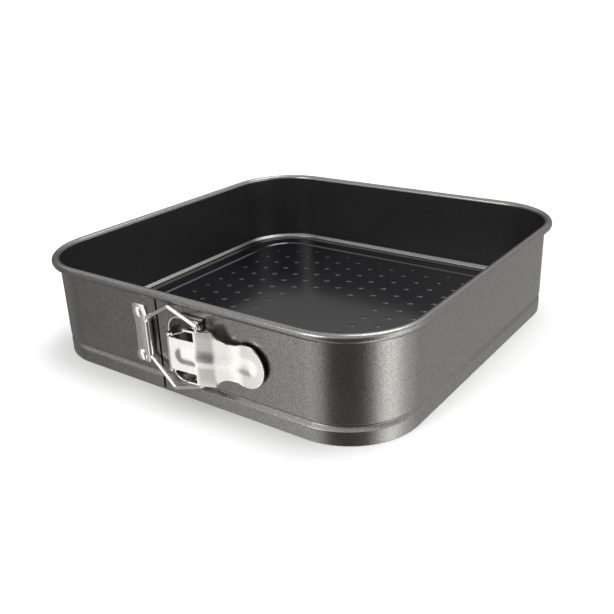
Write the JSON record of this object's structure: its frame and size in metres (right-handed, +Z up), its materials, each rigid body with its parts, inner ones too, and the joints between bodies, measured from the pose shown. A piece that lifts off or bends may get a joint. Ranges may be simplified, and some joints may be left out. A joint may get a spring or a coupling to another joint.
{
  "type": "springform pan",
  "caption": "Square springform baking pan with rounded corners, a rolled rim, a loose dimpled base and a toggle latch with a wire link.",
  "frame": {"origin": "middle of the overall footprint, latch included, on the surface the pan stands on", "axes": "+Z up; -Y towards the wall with the latch; +X to the right when facing the latch"},
  "size_m": [0.268, 0.2754, 0.065],
  "materials": {
    "band_coating": "dark grey metallic non-stick coating, fine speckle",
    "base_coating": "black non-stick coating, smooth satin",
    "latch_steel": "bright tinned steel",
    "lever_steel": "bright tinned steel, polished",
    "wire_steel": "bright drawn wire",
    "rivet_steel": "bright steel"
  },
  "bodies": {
    "base": {"base_plate": "base_coating"},
    "band": {"band_main": "band_coating", "latch_bracket": "latch_steel", "bracket_rivet_upper": "rivet_steel", "bracket_rivet_lower": "rivet_steel", "lever_pin": "rivet_steel"},
    "left_wall": {"band_left_wall": "band_coating"},
    "front_left": {"band_front_left": "band_coating", "catch_plate": "latch_steel", "catch_rivet_upper": "rivet_steel", "catch_rivet_lower": "rivet_steel"},
    "wire": {"wire_link": "wire_steel"},
    "lever": {"lever": "lever_steel"}
  },
  "joints": [
    {"name": "ring_lift", "type": "slide", "parent": "base", "child": "band", "axis": [0, 0, 1], "range_m": [0, 0.08]},
    {"name": "lever_swing", "type": "hinge", "parent": "band", "child": "lever", "pos_m": [0.002, -0.13462, 0.034], "axis": [0, 0, -1], "range_deg": [0, 90]},
    {"name": "left_wall_flex", "type": "hinge", "parent": "band", "child": "left_wall", "pos_m": [-0.13405, 0.08958, 0.034], "axis": [0, 0, -1], "range_deg": [0, 2.66]},
    {"name": "front_left_flex", "type": "hinge", "parent": "left_wall", "child": "front_left", "pos_m": [-0.1252, -0.08223, 0.034], "axis": [0, 0, 1], "range_deg": [0, 2.66]},
    {"name": "wire_swing", "type": "hinge", "parent": "front_left", "child": "wire", "pos_m": [-0.023, -0.12793, 0.034], "axis": [0, 0, -1], "range_deg": [0, 29.04]}
  ],
  "couplings": [
    {"joint": "left_wall_flex", "follows": "lever_swing", "ratio": 0.029455},
    {"joint": "front_left_flex", "follows": "lever_swing", "ratio": 0.029455},
    {"joint": "wire_swing", "follows": "lever_swing", "ratio": 0.32156}
  ]
}
